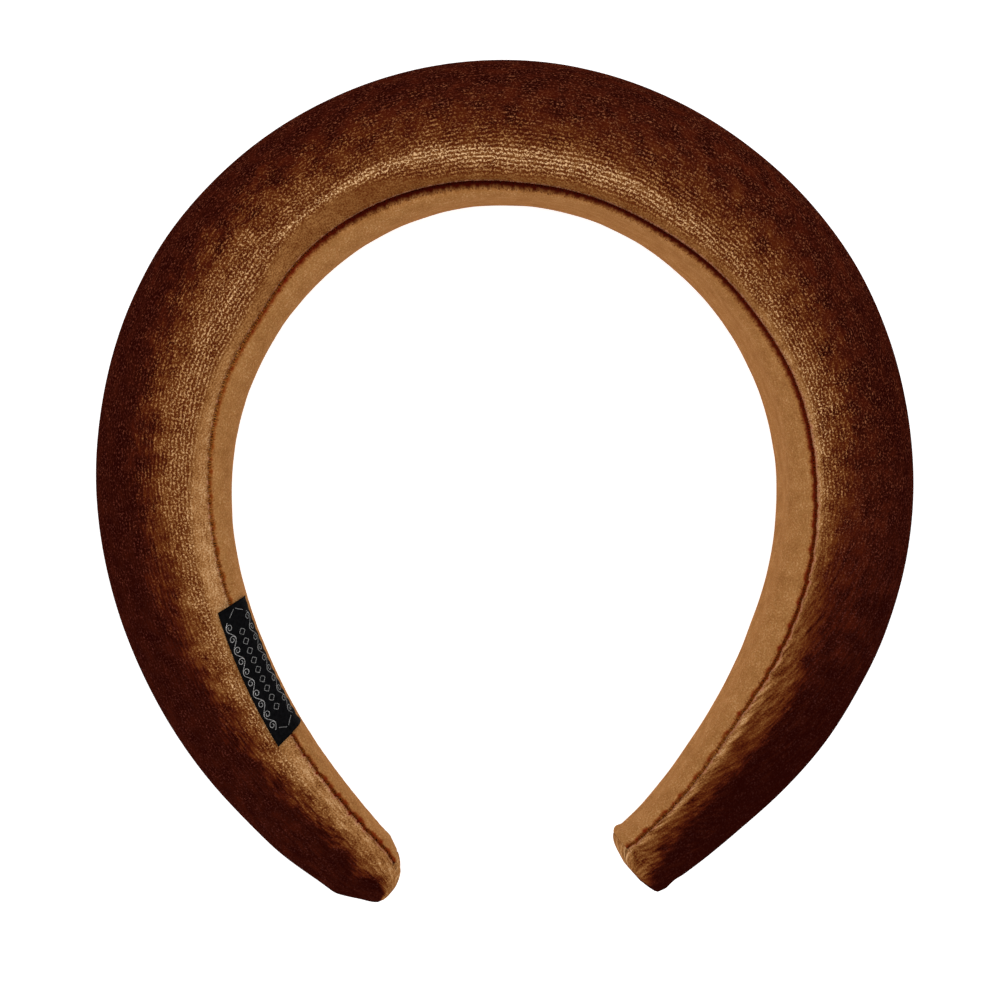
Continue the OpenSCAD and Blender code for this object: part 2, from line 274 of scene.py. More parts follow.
# The stitches that join the pad and the lining along the upper and the lower seam. Each pulls the skin in.
stitch_pitch, stitch_spread, stitch_reach, stitch_count = 2.3, 0.35, 0.42, 175
weakest_pull, strongest_pull, pucker_reach = 0.5, 1.25, 1.7
rng = np.random.default_rng(7)
stitches = [np.cumsum(rng.uniform(stitch_pitch - stitch_spread, stitch_pitch + stitch_spread,
                                  stitch_count)) - left_long for _ in range(2)]
stitch_pulls = [rng.uniform(weakest_pull, strongest_pull, stitch_count) for _ in range(2)]
# How the seam looks along the band: depth of the puckers, length of the pile's fringe over it, how far
# its dark line of painted shade reaches over the lining, how softly and in what tone, how far it reaches
# over the pad and the painted shade's tone in the groove there, and the tones of the lining's and the pad's
# fringe
#              along  pucker fringe dark  soft  root  wall  deep  under over
SEAM_LOOK = [[-1.00, 0.42, 0.55, 0.10, 0.30, 0.32, 0.70, 0.38, 0.48, 0.45],
             [-0.90, 0.56, 0.60, 0.05, 0.30, 0.34, 0.65, 0.40, 0.50, 0.48],
             [-0.80, 0.62, 0.60, -0.25, 0.30, 0.36, 0.40, 0.48, 0.50, 0.55],
             [-0.55, 0.42, 0.60, -0.12, 0.30, 0.52, 0.10, 0.66, 0.56, 0.60],
             [-0.44, 0.34, 0.55, 0.00, 0.30, 0.54, 0.05, 0.72, 0.56, 0.60],
             [-0.31, 0.20, 0.50, 0.12, 0.40, 0.36, 0.25, 0.62, 0.45, 0.55],
             [-0.20, 0.16, 0.40, 0.45, 0.65, 0.05, 0.30, 0.20, 0.24, 0.48],
             [-0.12, 0.12, 0.35, 0.65, 0.85, 0.01, 0.25, 0.06, 0.18, 0.45],
             [0.00, 0.10, 0.35, 0.60, 0.85, 0.01, 0.20, 0.06, 0.18, 0.43],
             [0.10, 0.10, 0.35, 0.30, 0.60, 0.04, 0.20, 0.10, 0.26, 0.45],
             [0.20, 0.12, 0.40, 0.30, 0.60, 0.04, 0.40, 0.08, 0.26, 0.40],
             [0.32, 0.16, 0.45, 0.32, 0.60, 0.08, 0.35, 0.22, 0.30, 0.50],
             [0.45, 0.20, 0.45, 0.20, 0.45, 0.15, 0.65, 0.26, 0.35, 0.38],
             [0.58, 0.24, 0.40, 0.05, 0.35, 0.26, 0.80, 0.34, 0.40, 0.36],
             [0.71, 0.24, 0.40, -0.05, 0.35, 0.30, 0.85, 0.40, 0.45, 0.38],
             [0.84, 0.26, 0.50, 0.00, 0.35, 0.38, 0.50, 0.66, 0.45, 0.50],
             [1.00, 0.20, 0.50, 0.10, 0.35, 0.32, 0.60, 0.45, 0.45, 0.42]]
PUCKER, FRINGE, DARK, SOFT, ROOT, WALL, DEEP, UNDER, OVER = range(1, 10)
# The pucker's depth at which a stitch's painted shade darkens the seam as much as its pull says, and how
# the seam's line strays: two waves, each with its height and its turn to the mm
usual_pucker = 0.25
slow_stray, slow_turn, quick_stray, quick_turn = 0.20, 1.15, 0.14, 2.35
stray_from, stray_ease = 0.35, 0.25


def way(s):
    """Where s lies from the left tip, -1, over the crown, 0, to the right tip, 1"""
    return s / by_side(s, left_long, right_long)


def wavering(s):
    """How far, in mm, the seam's line strays to the pad's side at s, mostly towards the tips"""
    stray = slow_stray * np.sin(slow_turn * s) + quick_stray * np.sin(quick_turn * s + 1)
    return stray * risen(abs(way(s)), stray_from, stray_ease)


def pulled(s, upper):
    """How strongly the nearest stitch of the upper or the lower seam pulls at s"""
    pulls = [np.exp(-((s[:, None] - spots[None]) / stitch_reach) ** 2) @ strengths
             for spots, strengths in zip(stitches, stitch_pulls)]
    return np.where(upper > 0, pulls[0][:, None], pulls[1][:, None])


def blurred(values, reach, axis):
    """Values smoothed along an axis with a bell that reaches so many steps"""
    steps = np.arange(-3 * reach, 3 * reach + 1)
    weights = np.exp(-0.5 * (steps / reach) ** 2)
    weights = weights / weights.sum()

    def row_blurred(row):
        return np.convolve(np.pad(row, 3 * reach, "edge"), weights, "valid")
    return np.apply_along_axis(row_blurred, axis, values)


def outwards(points):
    """Unit normals of a wrapped grid of points, out of the band"""
    run = np.gradient(points, axis=0)
    turn = np.roll(points, -1, 1) - np.roll(points, 1, 1)
    normal = np.cross(turn, run)
    return normal / np.maximum(np.linalg.norm(normal, axis=-1, keepdims=True), 1e-9)


# The filling under the stretched velvet isn't quite even. A coarse copy of the tube, held at its seams and
# blown up as cloth, shows where it gives more than beside it, and the skin takes that unevenness over.
blow_step, blow_columns, blow_pressure, blow_steps = 4.5, 13, 6.0, 20
blow_even, blow_give, blow_most, blow_free, blow_ease = 5, 0.25, 0.22, 172, 20
held_far, held_end = 1.2, 178
bundle, lump_reach, lump_high = 8, 14, 0.54


def blown(pressure):
    """How far a coarse tube stands off, in mm, for its rings, and its columns as shares of the flank"""
    coarse_s = arms(left_long - 1, right_long - 1, blow_step)
    r, z, far, long = pad_section(coarse_s, blow_columns, 3)
    s = np.repeat(coarse_s[:, None], 2 * r.shape[1] - 2, 1)
    points = shaped(s, around(r), around(z, odd=True))
    skin = grid_skin("blown_tube", laid(points), {})
    held = skin.vertex_groups.new(name="held")
    at_seam = around(far).reshape(-1) < held_far
    at_end = abs(s.reshape(-1)) > held_end
    held.add([int(i) for i in np.nonzero(at_seam | at_end)[0]], 1.0, "REPLACE")
    cloth = skin.modifiers.new("cloth", "CLOTH")
    cloth.settings.vertex_group_mass = "held"
    cloth.settings.mass = 0.02
    cloth.settings.tension_stiffness = cloth.settings.compression_stiffness = 8
    cloth.settings.bending_stiffness = 0.2
    cloth.settings.use_pressure = True
    cloth.settings.uniform_pressure_force = pressure
    cloth.settings.shrink_min = -0.03
    cloth.settings.effector_weights.gravity = 0
    for step in range(1, blow_steps + 1):
        bpy.context.scene.frame_set(step)
    bpy.ops.object.modifier_apply(modifier=cloth.name)
    moved = np.empty(len(skin.data.vertices) * 3, np.float32)
    skin.data.vertices.foreach_get("co", moved)
    bpy.context.scene.frame_set(1)
    bpy.data.objects.remove(skin)
    away = (moved.reshape(points.shape) - laid(points)) / MM
    tilt = np.array(Matrix.Rotation(math.radians(rest_tilt), 3, "X"))
    return coarse_s, (away * (outwards(points) @ tilt.T)).sum(-1)


uneven = np.zeros_like(r)
blown_s, stood = blown(blow_pressure)
free = risen(-abs(blown_s), -blow_free, blow_ease)[:, None]
stood = (stood - blurred(stood, blow_even, 0)) * free
stood = np.clip(stood * blow_give, -blow_most, blow_most)
old, new = np.linspace(0, 1, stood.shape[1]), np.linspace(0, 1, columns)
across = np.array([np.interp(new, old, ring) for ring in stood])
uneven = np.array([np.interp(pad_s, blown_s, column) for column in across.T]).T
uneven = blurred(blurred(uneven, bundle, 0), 1, 1)
uneven += lump_high * blurred(blurred(rng.normal(0, 1, r.shape), lump_reach, 0), 1, 1)

pull = pulled(pad_s, upper)
swollen, over_edge, end_ease = 0.06, 0.5, 2
near = np.exp(-np.maximum(far, 0) / pucker_reach) * (far > -over_edge)
puckers = (swollen - pull * read(SEAM_LOOK, PUCKER, way(along))) * near
length = by_side(along, left_long, right_long)
back = length - abs(along)


def bell(x, y, x_at, y_at, x_reach, y_reach):
    return np.exp(-((x - x_at) / x_reach) ** 2 - ((y - y_at) / y_reach) ** 2)


# Gathers at the tips: on the right arm they fan out of a pit at the seam, on the left they run across the
# tip, beside a fold that is tucked in
pit_back, fan_folds, fan_high, fan_reach, fan_clear = 3.4, 9, 0.20, 5.5, 4
fan_turned, fan_sway, fan_sway_turn = 0.6, 1.1, 1.1
cross_turn, cross_high, tuck_deep = 4.2, 0.12, 0.9
from_pit = np.hypot(far, back - pit_back)
fan = np.arctan2(far, back - pit_back) * fan_folds + fan_turned
fan += fan_sway * np.sin(from_pit * fan_sway_turn)
fan_fade = np.exp(-from_pit / fan_reach) * risen(from_pit, 0, fan_clear) ** 2
gathers = (along > 0) * fan_high * np.cos(fan) * fan_fade
gathers += (along < 0) * cross_high * np.cos(back * cross_turn + 0.5 * far) * bell(back, far, 3, 0, 3, 5)
gathers -= (along < 0) * tuck_deep * bell(back, far, 5.2, 9.2, 2.4, 1.1)
# Slanting stretch lines in the velvet before the right tip
line_pitch, line_slope, line_high, line_sway, line_sway_turn = 2.1, 0.9, 0.07, 0.7, 0.35
slant = (back - line_slope * far) / line_pitch + line_sway * np.sin(back * line_sway_turn)
stretch = (along > 0) * np.cos(2 * np.pi * slant) * bell(back, far, 17, 9, 9, 4.5)
gathers += line_high * stretch
at_ends = risen(back, 0, end_ease)
relief = np.where(far > -over_edge, uneven * (1 - near) * at_ends + puckers + gathers * at_ends, 0)
pad_points = pad_points + relief[..., None] * outwards(pad_points)

# How the velvet's nap lies along the band, painted into its colour as light and shade: partly the nap's own
# look, partly a painted highlight where the flank faces the light and painted shade where it turns away.
# As levels of its tones and shares of the flank: the lit strip beside the seam and where it ends, the lit
# band beyond and where that ends and how softly, its slow fall into shade, the shaded rest of the flank,
# and how clearly the knit's rows show
#       along  strip to    band  to    fade  fall  rest  rows
NAP_LIGHT = [[-1.00, 0.57, 0.17, 0.53, 1.05, 0.14, 0.00, 0.11, 0.2],
       [-0.992, 0.57, 0.17, 0.50, 0.40, 0.13, 0.00, 0.10, 0.2],
       [-0.96, 0.59, 0.17, 0.50, 0.34, 0.13, 0.00, 0.10, 0.2],
       [-0.93, 0.60, 0.17, 0.52, 0.27, 0.13, 0.00, 0.10, 0.2],
       [-0.87, 0.64, 0.16, 0.54, 0.27, 0.13, 0.00, 0.11, 0.3],
       [-0.72, 0.64, 0.16, 0.57, 0.31, 0.17, 0.03, 0.11, 0.4],
       [-0.60, 0.68, 0.16, 0.49, 0.34, 0.18, 0.07, 0.11, 0.5],
       [-0.45, 0.62, 0.12, 0.46, 0.38, 0.18, 0.09, 0.12, 0.8],
       [-0.33, 0.53, 0.09, 0.45, 0.43, 0.20, 0.10, 0.13, 0.8],
       [-0.26, 0.49, 0.14, 0.43, 0.42, 0.22, 0.11, 0.14, 0.5],
       [-0.21, 0.46, 0.165, 0.41, 0.41, 0.23, 0.12, 0.14, 0.4],
       [-0.15, 0.41, 0.15, 0.38, 0.38, 0.24, 0.14, 0.14, 0.5],
       [-0.11, 0.41, 0.09, 0.38, 0.35, 0.25, 0.15, 0.15, 0.6],
       [-0.08, 0.43, 0.06, 0.38, 0.33, 0.26, 0.15, 0.15, 0.8],
       [0.06, 0.46, 0.06, 0.35, 0.27, 0.20, 0.16, 0.16, 0.9],
       [0.22, 0.48, 0.06, 0.41, 0.27, 0.20, 0.13, 0.17, 0.7],
       [0.39, 0.67, 0.07, 0.48, 0.23, 0.18, 0.11, 0.14, 0.55],
       [0.55, 0.74, 0.06, 0.43, 0.16, 0.12, 0.12, 0.12, 0.5],
       [0.65, 0.58, 0.06, 0.35, 0.16, 0.12, 0.07, 0.10, 0.5],
       [0.75, 0.62, 0.09, 0.33, 0.27, 0.09, 0.03, 0.08, 0.4],
       [0.87, 0.64, 0.11, 0.26, 0.25, 0.07, 0.02, 0.07, 0.4],
       [0.95, 0.66, 0.10, 0.33, 0.28, 0.10, 0.04, 0.07, 0.3],
       [1.00, 0.60, 0.12, 0.42, 0.56, 0.12, 0.04, 0.09, 0.2]]
STRIP, STRIP_TO, BAND, BAND_TO, FADE, FALL, REST, ROWS = range(1, 9)
# A painted highlight on the crown: where its brightest rows lie, as a share of the flank, how wide, and how
# much lighter they are painted
#         along  at    wide  high
GLEAM = [[-0.45, 0.24, 0.02, 0.00], [-0.29, 0.21, 0.011, 0.14],
         [-0.22, 0.195, 0.011, 0.28], [-0.15, 0.195, 0.026, 0.28],
         [-0.09, 0.195, 0.04, 0.32], [-0.02, 0.155, 0.06, 0.24],
         [0.07, 0.155, 0.055, 0.30], [0.15, 0.135, 0.045, 0.18],
         [0.23, 0.12, 0.05, 0.06], [0.35, 0.10, 0.05, 0.00]]
GLEAM_AT, GLEAM_WIDE, GLEAM_HIGH = range(1, 4)
# Rows of the knit over the flank, the same count in the narrow arms, where they run closer, the share of
# the flank over which the painted light falls off, how sharp the lit strip's edge is, and the painted level
# of the bare pile past the lining's ends, which lies well inside the painted lit band
flank_rows, fall_share, strip_edge, bare_level, bare_off = 42, 0.65, 0.012, 0.60, -2
flank_share = far / flank_long
u = way(along)
rest = read(NAP_LIGHT, REST, u) + read(NAP_LIGHT, FALL, u) * (1 - risen(flank_share, 0, fall_share))
stripe = 1 / (1 + np.exp((flank_share - read(NAP_LIGHT, STRIP_TO, u)) / strip_edge))
glow = read(NAP_LIGHT, BAND, u) + (read(NAP_LIGHT, STRIP, u) - read(NAP_LIGHT, BAND, u)) * stripe
from_gleam = (flank_share - read(GLEAM, GLEAM_AT, u)) / read(GLEAM, GLEAM_WIDE, u)
gleam = read(GLEAM, GLEAM_HIGH, u) * np.exp(-from_gleam**2) * (u > GLEAM[0][0]) * (u < GLEAM[-1][0])
inside = (columns // 2 - abs(np.arange(columns) - columns // 2))[None] < inner_columns
bare = inside & (abs(along) > lined_long(along) + gap)
edge_off = np.where(bare, bare_off, (flank_share - read(NAP_LIGHT, BAND_TO, u)) / read(NAP_LIGHT, FADE, u))
glow = np.where(bare, bare_level, glow)
# What the pad's material reads at each point: its place on the cloth with the creases, which get painted
# shade, the seam with its painted shade, the nap's painted light and shade, the painted highlight rows and
# the knit. The seam's painted dark line ends soon after the lining does.
seam_fade, seam_withdrawn, crease_shade_shown = 0.8, 3, 4
past_seam = risen(abs(along), lined_long(along), seam_fade)
dark_to = read(SEAM_LOOK, WALL, u) + wavering(along) - seam_withdrawn * past_seam
fact_cloth = np.stack([along, (flank_long - far) * np.where(upper > 0, 1, -1),
                       stretch + gathers * crease_shade_shown], -1)
fact_flank = np.stack([pull * read(SEAM_LOOK, PUCKER, u) / usual_pucker, far - dark_to,
                       read(SEAM_LOOK, DEEP, u)], -1)
fact_nap_light = np.stack([edge_off, glow, rest], -1)
# The rows show most near the crown's bright strip, and further over the flank on the left arm. The pile is
# combed flat towards both tips.
rows_at, rows_least, rows_near, rows_further = 0.15, 0.35, 0.14, 0.26
rows_reach = rows_near + rows_further * risen(-u, 0.35, 0.2)
near_rows = np.exp(-((flank_share - rows_at) / rows_reach) ** 2)
rows_shown = read(NAP_LIGHT, ROWS, u) * (rows_least + (1 - rows_least) * near_rows)
fact_rows = np.stack([gleam, rows_shown, np.where(bare, 0, 1 - stripe)], -1)
combed = risen(u, 0.46, 0.18) + 0.2 * risen(-u, 0.3, 0.2) + 0.5 * risen(-u, 0.78, 0.1)
# On the left arm's dark side the rows lie so flat that they show as long fine lines
lined = risen(-u, 0.5, 0.15) * risen(flank_share, 0.22, 0.2) + 0.2 * (u < 0.4)
fact_knit = np.stack([(1 - flank_share) * flank_rows * np.where(upper > 0, 1, -1), combed, lined], -1)


def capped(values, closing):
    """Rings with both ends closed: each end's ring shrinks to its middle in a few more rings"""
    for end in (0, -1):
        ring = values[end]
        middle = ring.mean(0)
        rings = [middle + (ring - middle) * k for k in closing]
        values = np.concatenate([rings[::-1], values] if end == 0 else [values, rings])
    return values


closing = np.cos(np.radians(np.linspace(0, 90, cap_rings + 1)))[1:]
pad_points, fact_cloth, fact_flank, fact_nap_light, fact_rows, fact_knit = (
    capped(v, closing) for v in (pad_points, fact_cloth, fact_flank, fact_nap_light, fact_rows, fact_knit))
pad = tube("velvet_pad", laid(pad_points), {"cloth": fact_cloth, "flank": fact_flank, "nap": fact_nap_light,
                                            "rows": fact_rows, "knit": fact_knit})


def feed(tree, made, inputs):
    """A node's inputs filled, by name or number, each with a link or a plain value"""
    for spot, value in inputs.items():
        if isinstance(value, bpy.types.NodeSocket):
            tree.links.new(value, made.inputs[spot])
        else:
            made.inputs[spot].default_value = value


def add(tree, kind, inputs=None, **settings):
    """A node with its settings and its inputs"""
    made = tree.nodes.new("ShaderNode" + kind)
    for name, value in settings.items():
        setattr(made, name, value)
    feed(tree, made, inputs or {})
    return made


def sums(tree, operation, *values):
    return add(tree, "Math", dict(enumerate(values)), operation=operation).outputs[0]


def plus(tree, first, second):
    return sums(tree, "ADD", first, second)


def less(tree, first, second):
    return sums(tree, "SUBTRACT", first, second)


def times(tree, first, second):
    return sums(tree, "MULTIPLY", first, second)


def swung(tree, value, middle, strength):
    """How far a value stands from its middle, times a strength"""
    return times(tree, less(tree, value, middle), strength)


def between(tree, share, low, high):
    """Two values mixed by a share"""
    return add(tree, "Mix", {0: share, 2: low, 3: high}).outputs[0]


def dyed_over(tree, share, under, over, kind="MIX"):
    """Two colours mixed by a share"""
    return add(tree, "Mix", {0: share, 6: under, 7: over}, data_type="RGBA", blend_type=kind).outputs[2]


def drawn_out(tree, vector, x, y, turn=0.0):
    """A pattern's coordinates, for a pattern drawn out x and y times and turned"""
    return add(tree, "Mapping", {"Vector": vector, "Rotation": (0, 0, turn), "Scale": (x, y, 1)},
               vector_type="TEXTURE").outputs[0]


def eased(tree, value, low, high, start=0.0, end=1.0):
    """A value's smooth step between low and high, put out from start to end"""
    return add(tree, "MapRange", {0: value, 1: low, 2: high, 3: start, 4: end},
               interpolation_type="SMOOTHSTEP").outputs[0]


def parts(tree, vector):
    return add(tree, "SeparateXYZ", {0: vector}).outputs


def fact(tree, name):
    return add(tree, "Attribute", attribute_name=name).outputs["Vector"]


def speckle(tree, vector, scale, detail=1.0, twist=0.0):
    """Noise around zero, from about -0.5 to 0.5"""
    noise = add(tree, "TexNoise", {"Vector": vector, "Scale": scale, "Detail": detail, "Distortion": twist},
                noise_dimensions="2D")
    return less(tree, noise.outputs["Fac"], 0.5)


def group(name, inputs, outputs):
    """A shader node group with its sockets, and its input and output nodes"""
    tree = bpy.data.node_groups.new(name, "ShaderNodeTree")
    for spot, kind in inputs.items():
        tree.interface.new_socket(spot, in_out="INPUT", socket_type="NodeSocket" + kind)
    for spot, kind in outputs.items():
        tree.interface.new_socket(spot, in_out="OUTPUT", socket_type="NodeSocket" + kind)
    return tree, tree.nodes.new("NodeGroupInput").outputs, tree.nodes.new("NodeGroupOutput").inputs


# Knit pile: tufts crowd along the knit's rows, each catching the light more or less than the next, and lie
# in short strokes where the pile is brushed flat. Sparkle and Glint are painted glints wherever they set a
# colour, and with the grain they also raise the pile's bump. Sizes are speckles to the mm.
row_pull, row_wander, row_shiver = 0.12, 1.5, 0.9
wander_size, shiver_size, grain_size, patch_size = 0.10, 1.0, 3.0, 0.28
stroke_long, stroke_wide, stroke_turn = 1.6, 0.38, 0.5
tuft_height, grain_height = 0.6, 0.4
knit, given, shown = group(
    "knit_pile", {"Cloth": "Vector", "Row": "Float", "Loop": "Float", "Rows": "Float"},
    {"Sparkle": "Float", "Glint": "Float", "Line": "Float", "Grain": "Float", "Strokes": "Float",
     "Patch": "Float", "Height": "Float"})
cloth_x, cloth_y = parts(knit, given["Cloth"])[:2]
wander = times(knit, speckle(knit, given["Cloth"], wander_size), row_wander)
shiver = times(knit, speckle(knit, given["Cloth"], shiver_size, 2.0), row_shiver)
row_at = plus(knit, given["Row"], plus(knit, wander, shiver))
loops = add(knit, "CombineXYZ", {0: sums(knit, "DIVIDE", cloth_x, given["Loop"]),
                                 1: sums(knit, "DIVIDE", cloth_y, given["Loop"])}).outputs[0]
wave = sums(knit, "COSINE", times(knit, row_at, 2 * math.pi))
line = times(knit, wave, given["Rows"])
standing_up = plus(knit, speckle(knit, loops, 1.0, 2.0, 0.6), times(knit, line, row_pull))
sparkle = eased(knit, standing_up, -0.06, 0.20)
glint = eased(knit, standing_up, 0.0, 0.24)
grain = plus(knit, speckle(knit, given["Cloth"], grain_size, 2.0), 0.5)
lie = drawn_out(knit, given["Cloth"], stroke_long, stroke_wide, stroke_turn)
strokes = plus(knit, speckle(knit, lie, 1.0, 2.0), 0.5)
patch = plus(knit, speckle(knit, given["Cloth"], patch_size, 2.0), 0.5)
height = plus(knit, times(knit, sparkle, tuft_height), times(knit, grain, grain_height))
for spot, value in {"Sparkle": sparkle, "Glint": glint, "Line": line, "Grain": grain, "Strokes": strokes,
                    "Patch": patch, "Height": height}.items():
    knit.links.new(value, shown[spot])

# The pile's colours with painted light and shade in them, from the deep maroon of its painted shaded roots
# to the pale copper of its painted gleaming tips, as pairs of a level and a colour
TONES = [(0.00, (0.010, 0.0006, 0.0003)), (0.07, (0.0185, 0.0015, 0.0006)),
         (0.11, (0.030, 0.0038, 0.0016)), (0.175, (0.061, 0.0072, 0.0025)),
         (0.30, (0.125, 0.0275, 0.0056)), (0.43, (0.205, 0.073, 0.0180)),
         (0.63, (0.392, 0.175, 0.056)), (1.00, (0.83, 0.515, 0.262))]
# Painted shade for deep in the seam: darker, redder colours for its shadow and for the light that other
# pile has reddened there
SEAM_SHADE_TONES = [(0.00, (0.040, 0.0022, 0.0006)), (0.20, (0.150, 0.0120, 0.0025)),
              (0.50, (0.260, 0.064, 0.0085)), (0.75, (0.47, 0.175, 0.036)),
              (1.00, (0.80, 0.360, 0.100))]


def tone_group(name, table):
    """A shader node group that puts out a table's colour for a level"""
    tree, given, shown = group(name, {"Level": "Float"}, {"Color": "Color"})
    ramp = add(tree, "ValToRGB", {0: given["Level"]})
    for spot, colour in table[1:-1]:
        ramp.color_ramp.elements.new(spot).color = (*colour, 1)
    ramp.color_ramp.elements[0].color = (*table[0][1], 1)
    ramp.color_ramp.elements[len(table) - 1].color = (*table[-1][1], 1)
    tree.links.new(ramp.outputs[0], shown["Color"])
    return tree


tones = tone_group("velvet_tone", TONES)
seam_shade_tones = tone_group("seam_shade_tone", SEAM_SHADE_TONES)


def fill(tree, shared, inputs):
    """A shared node group placed in a material with its own values, as its outputs"""
    made = add(tree, "Group", node_tree=shared)
    feed(tree, made, inputs)
    return made.outputs


def material(name, piece, rough, sheen=0.0, gloss=0.5):
    """A material set on a piece, as its node tree and its Principled shader"""
    made = bpy.data.materials.new(name)
    made.use_nodes = True
    shader = made.node_tree.nodes["Principled BSDF"]
    shader.inputs["Roughness"].default_value = rough
    shader.inputs["Sheen Weight"].default_value = sheen
    shader.inputs["Specular IOR Level"].default_value = gloss
    piece.data.materials.clear()
    piece.data.materials.append(made)
    return made.node_tree, shader


def raised(tree, shader, height, distance, strength=1.0):
    """Relief of a height, in mm, on the shader's normal"""
    bump = add(tree, "Bump", {"Height": height, "Distance": distance * MM, "Strength": strength})
    tree.links.new(bump.outputs[0], shader.inputs["Normal"])


def caught_down(tree, level, stitched):
    """A level of the seam's painted shade, which is darker where a stitch pulls"""
    return times(tree, level, less(tree, 1.0, times(tree, stitched, 0.4)))


loop_pitch, darkest_level = 0.36, 0.07
tree, shader = material("crushed_velvet", pad, 0.85, gloss=0)
cloth = fact(tree, "cloth")
row_at, combed, lined = parts(tree, fact(tree, "knit"))
off, glow, rest = parts(tree, fact(tree, "nap"))
painted_highlight, rows, away = parts(tree, fact(tree, "rows"))
stitched, distance, dark_tone = parts(tree, fact(tree, "flank"))
crease_shading = parts(tree, cloth)[2]
pile = fill(tree, knit, {"Cloth": cloth, "Row": row_at, "Loop": loop_pitch, "Rows": rows})
# The painted lit band, where the nap is held up to the light, with its frayed edge; past it the flank is
# painted in shade
fray_size, fray_long, fray_wide, fray_reach = 0.22, 2.4, 0.5, 1.5
fraying = drawn_out(tree, cloth, fray_long, fray_wide)
ragged = plus(tree, times(tree, speckle(tree, cloth, fray_size, 3.0), fray_reach),
              times(tree, speckle(tree, fraying, 1.0, 2.0), fray_reach))
lit_band = eased(tree, plus(tree, off, ragged), -1.0, 1.0, 1.0, 0.0)
shaded_flank = less(tree, 1.0, lit_band)
level = plus(tree, rest, times(tree, lit_band, less(tree, glow, rest)))
# The crown's painted highlight rows
level = plus(tree, level, painted_highlight)
# Tufts over the flank, as painted glints. Where the flank is painted in shade, single ones still catch the
# light in patches.
tuft_swing, dark_tuft_swing, tuft_grain, patch_spread = 1.45, 1.5, 0.7, 0.35
usual_sparkle, usual_glint, steady, lined_calm, lined_rows = 0.35, 0.26, 0.95, 0.5, 0.4
patchy = eased(tree, speckle(tree, cloth, patch_spread, 2.0), -0.25, 0.25, 0.5, 1.4)
bright_swing = swung(tree, pile["Sparkle"], usual_sparkle, tuft_swing)
dark_swing = swung(tree, pile["Glint"], usual_glint, dark_tuft_swing)
loops_swing = plus(tree, between(tree, lit_band, dark_swing, bright_swing),
                   swung(tree, pile["Grain"], 0.5, tuft_grain))
steadied = less(tree, between(tree, lit_band, patchy, steady), times(tree, lined, lined_calm))
lines = times(tree, times(tree, lined, lined_rows), shaded_flank)
loops_swing = plus(tree, times(tree, loops_swing, steadied), times(tree, pile["Line"], lines))
# Brushed flat beside the seam, and combed into long streaks towards the tips
flat_strokes, flat_grain, combed_down, streak_swing = 0.5, 1.1, 0.8, 1.4
streak_long, streak_wide, streak_turn = 5.0, 0.8, 0.2
flat_swing = plus(tree, swung(tree, pile["Strokes"], 0.5, flat_strokes),
                  swung(tree, pile["Grain"], 0.5, flat_grain))
standing = times(tree, away, less(tree, 1.0, times(tree, combed, combed_down)))
combing = drawn_out(tree, cloth, streak_long, streak_wide, streak_turn)
streaks = times(tree, speckle(tree, combing, 1.0, 3.0), times(tree, combed, streak_swing))
swing = plus(tree, between(tree, standing, flat_swing, loops_swing), streaks)
# Clouds over it all, deeper where the flank is painted in shade, and painted shade over the creases of the
# gathers, lighter on their crests and darker in their hollows
dark_clouds, bright_clouds, crease_shade_swing = 0.9, 0.45, 0.3
cloudy = between(tree, lit_band, dark_clouds, bright_clouds)
swing = plus(tree, swing, swung(tree, pile["Patch"], 0.5, cloudy))
swing = plus(tree, swing, times(tree, crease_shading, crease_shade_swing))
level = times(tree, level, plus(tree, 1.0, swing))
level = sums(tree, "MAXIMUM", level, darkest_level)
# The seam's dark line of painted shade, with a painted highlight for its pale rim where the cut edge's pile
# stands, and the painted pink glints of single tufts
seam_edge, rim_from, rim_to, rim_strength, pink_glint_strength = 0.25, 0.25, 0.6, 0.85, 1.3
stitch_shift, root_size, root_fray, deep_size, deep_swing = 0.4, 1.6, 0.7, 1.3, 0.2
root = times(tree, speckle(tree, cloth, root_size), root_fray)
root = plus(tree, times(tree, stitched, stitch_shift), root)
past_root = less(tree, distance, root)
shade = eased(tree, past_root, -seam_edge, seam_edge)
rim_highlight = times(tree, shade, eased(tree, past_root, rim_from, rim_to, 1.0, 0.0))
seam_shade = times(tree, speckle(tree, cloth, deep_size), deep_swing)
seam_shade = plus(tree, caught_down(tree, dark_tone, stitched), seam_shade)
seam_shade = fill(tree, seam_shade_tones, {"Level": seam_shade})["Color"]
pink_glint = times(tree, times(tree, pile["Glint"], times(tree, patchy, shaded_flank)), times(tree, rest, pink_glint_strength))
dye_with_painted_light = fill(tree, tones, {"Level": level})["Color"]
dye_with_painted_light = dyed_over(tree, pink_glint, dye_with_painted_light, (0.22, 0.070, 0.060, 1))
dye_with_painted_light = dyed_over(tree, shade, seam_shade, dye_with_painted_light)
dye_with_painted_light = dyed_over(tree, times(tree, rim_highlight, rim_strength), dye_with_painted_light, (0.48, 0.200, 0.105, 1))
tree.links.new(dye_with_painted_light, shader.inputs["Base Color"])
raised(tree, shader, pile["Height"], 0.25, 0.6)
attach(pad, "root")
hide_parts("pad")

# The lining is a strip of the same velvet, pile up, glued to the stiff inner band. Its edges roll over
# into the groove, where they are sewn to the pad's.
lip_columns, corner_columns, flat_columns = 4, 8, 5
lining_reach, lining_end = 0.29, 0.9
ruffled, ruffle_reach, lining_pucker = 0.2, 6, 0.8


